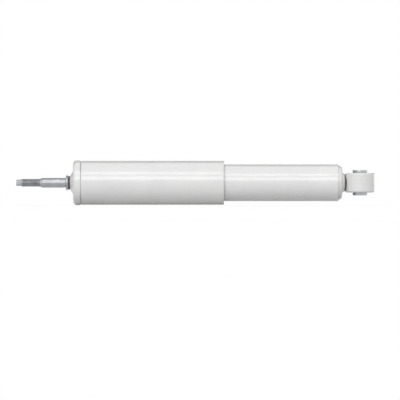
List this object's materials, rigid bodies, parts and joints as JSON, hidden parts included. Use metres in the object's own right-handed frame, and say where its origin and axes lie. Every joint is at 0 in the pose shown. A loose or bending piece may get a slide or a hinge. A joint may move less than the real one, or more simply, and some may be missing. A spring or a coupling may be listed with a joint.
{
  "type": "shock absorber",
  "caption": "Twin-tube hydraulic shock absorber: threaded stud and dust tube on a sliding rod, with a rubber-bushed eye at the cylinder end.",
  "frame": {"origin": "centre of the eye: the middle of the inner sleeve's bore", "axes": "+X from the stud towards the eye along the damper's axis, +Z along the eye's bore, up in the reference drawing"},
  "size_m": [0.4398, 0.0546, 0.0546],
  "materials": {
    "pale_paint": "satin pale grey-white paint",
    "zinc_steel": "bright zinc plate, turned",
    "chrome_rod": "ground and hard-chromed rod with a zinc-plated stud end",
    "weld_bead": "dark rippled weld metal",
    "drawn_steel": "oiled drawn steel",
    "spring_steel": "blued spring steel",
    "sintered_iron": "sintered iron, oil-wet",
    "bearing_bronze": "bronze bearing lining",
    "black_rubber": "matt moulded rubber",
    "cushion_plastic": "polyurethane cushion",
    "ring_plastic": "filled PTFE"
  },
  "bodies": {
    "cylinder": {"reservoir_tube": "pale_paint", "pressure_tube": "drawn_steel", "rod_guide": "sintered_iron", "guide_bush": "bearing_bronze", "rod_seal": "black_rubber", "seal_garter_spring": "spring_steel", "seal_washer": "drawn_steel", "bottom_cap": "pale_paint", "eye_weld": "weld_bead", "eye_ring": "pale_paint", "rubber_bush": "black_rubber", "foot_valve_body": "sintered_iron", "foot_valve_pin": "drawn_steel", "foot_valve_nut": "drawn_steel", "foot_intake_spring": "spring_steel", "foot_compression_spring": "spring_steel"},
    "piston_band": {"piston_ring": "ring_plastic"},
    "rod_assembly": {"piston_rod": "chrome_rod", "seat_collar": "zinc_steel", "collar_weld": "weld_bead", "dust_cap": "pale_paint", "dust_tube": "pale_paint", "rebound_stop_ring": "drawn_steel", "rebound_bumper": "cushion_plastic", "valve_stop_washer": "drawn_steel", "check_spring": "spring_steel", "piston": "sintered_iron", "rebound_spring": "spring_steel", "piston_nut": "drawn_steel"},
    "check_valve": {"piston_check_plate": "spring_steel"},
    "rebound_valve": {"rebound_valve_disc": "spring_steel", "rebound_spring_seat": "drawn_steel"},
    "intake_valve": {"foot_intake_plate": "spring_steel"},
    "compression_valve": {"foot_compression_disc": "spring_steel"},
    "eye_sleeve": {"inner_sleeve": "zinc_steel"}
  },
  "joints": [
    {"name": "rod_slide", "type": "slide", "parent": "cylinder", "child": "piston_band", "axis": [1, 0, 0], "range_m": [-0.093, 0.046]},
    {"name": "rod_spin", "type": "hinge", "parent": "piston_band", "child": "rod_assembly", "pos_m": [0, 0, 0], "axis": [1, 0, 0], "continuous": true},
    {"name": "check_valve_lift", "type": "slide", "parent": "rod_assembly", "child": "check_valve", "axis": [-1, 0, 0], "range_m": [0, 0.001], "stiffness_N_per_m": 1500, "springref_m": -0.001, "deforming": ["check_spring"]},
    {"name": "rebound_valve_lift", "type": "slide", "parent": "rod_assembly", "child": "rebound_valve", "axis": [1, 0, 0], "range_m": [0, 0.0012], "stiffness_N_per_m": 40000, "springref_m": -0.003, "deforming": ["rebound_spring"]},
    {"name": "foot_intake_lift", "type": "slide", "parent": "cylinder", "child": "intake_valve", "axis": [-1, 0, 0], "range_m": [0, 0.0012], "stiffness_N_per_m": 800, "springref_m": -0.001, "deforming": ["foot_intake_spring"]},
    {"name": "foot_compression_lift", "type": "slide", "parent": "cylinder", "child": "compression_valve", "axis": [1, 0, 0], "range_m": [0, 0.001], "stiffness_N_per_m": 15000, "springref_m": -0.003, "deforming": ["foot_compression_spring"]},
    {"name": "sleeve_twist", "type": "hinge", "parent": "cylinder", "child": "eye_sleeve", "pos_m": [0, 0, 0], "axis": [0, 0, 1], "range_deg": [-20, 20], "stiffness_Nm_per_rad": 60}
  ]
}
